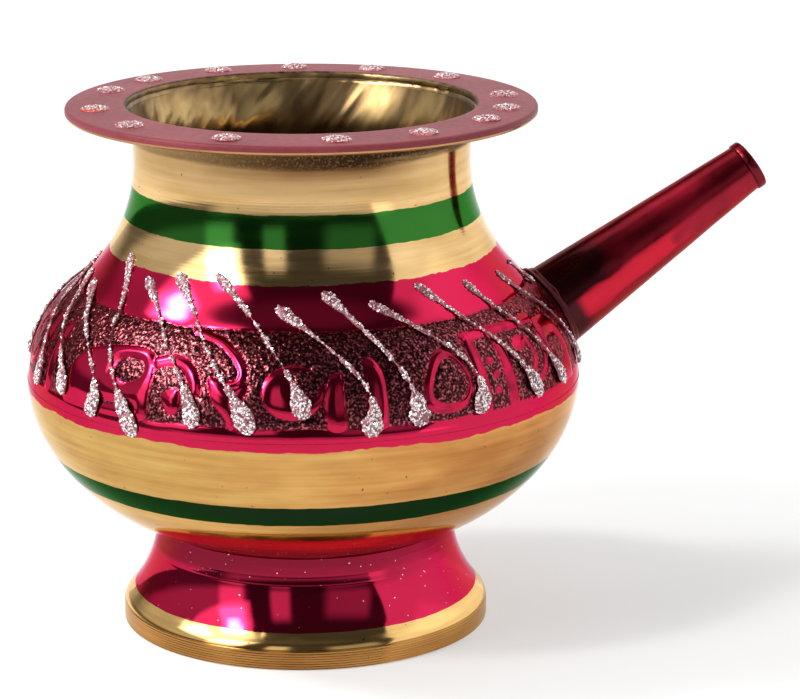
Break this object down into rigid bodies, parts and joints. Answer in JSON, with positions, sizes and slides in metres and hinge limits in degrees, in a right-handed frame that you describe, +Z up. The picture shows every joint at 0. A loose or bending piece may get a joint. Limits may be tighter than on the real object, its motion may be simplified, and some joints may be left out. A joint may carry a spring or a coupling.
{
  "type": "spouted water pot",
  "caption": "Small brass ritual water pot with a round belly, wide flat rim, turned foot and straight conical spout, in lacquer bands with a chased shoulder and glitter strokes.",
  "frame": {"origin": "on the ground under the foot, at the middle of the whole object's footprint box", "axes": "+Z up along the pot's own axis, +X the way the spout points"},
  "size_m": [0.1394, 0.1025, 0.0975],
  "materials": {
    "polished_brass": "satin polished brass with turned lines",
    "shoulder_lacquer": "clear pink lacquer over polished brass",
    "foot_lacquer": "clear pink lacquer over polished brass",
    "rim_lacquer": "semi-gloss mauve lacquer over brass",
    "spout_lacquer": "clear red lacquer over brass",
    "braze_filler": "dark rough braze",
    "glitter_paste": "silver glitter in clear paste"
  },
  "bodies": {
    "root": {"foot_braze": "braze_filler", "foot_ring": "foot_lacquer", "glitter_stroke_01": "glitter_paste", "glitter_stroke_02": "glitter_paste", "glitter_stroke_03": "glitter_paste", "glitter_stroke_04": "glitter_paste", "glitter_stroke_05": "glitter_paste", "glitter_stroke_06": "glitter_paste", "glitter_stroke_07": "glitter_paste", "glitter_stroke_08": "glitter_paste", "glitter_stroke_09": "glitter_paste", "glitter_stroke_10": "glitter_paste", "glitter_stroke_11": "glitter_paste", "glitter_stroke_12": "glitter_paste", "glitter_stroke_13": "glitter_paste", "glitter_stroke_14": "glitter_paste", "glitter_stroke_15": "glitter_paste", "glitter_stroke_16": "glitter_paste", "glitter_stroke_17": "glitter_paste", "glitter_stroke_18": "glitter_paste", "glitter_stroke_19": "glitter_paste", "glitter_stroke_20": "glitter_paste", "glitter_stroke_21": "glitter_paste", "glitter_stroke_22": "glitter_paste", "glitter_stroke_23": "glitter_paste", "glitter_stroke_24": "glitter_paste", "lower_bowl": "polished_brass", "rim_braze": "braze_filler", "rim_flange": "rim_lacquer", "rim_glitter_dot_01": "glitter_paste", "rim_glitter_dot_02": "glitter_paste", "rim_glitter_dot_03": "glitter_paste", "rim_glitter_dot_04": "glitter_paste", "rim_glitter_dot_05": "glitter_paste", "rim_glitter_dot_06": "glitter_paste", "rim_glitter_dot_07": "glitter_paste", "rim_glitter_dot_08": "glitter_paste", "rim_glitter_dot_09": "glitter_paste", "rim_glitter_dot_10": "glitter_paste", "rim_glitter_dot_11": "glitter_paste", "rim_glitter_dot_12": "glitter_paste", "rim_glitter_dot_13": "glitter_paste", "rim_glitter_dot_14": "glitter_paste", "shoulder_shell": "shoulder_lacquer", "spout_braze": "braze_filler", "spout_tube": "spout_lacquer"}
  },
  "joints": []
}
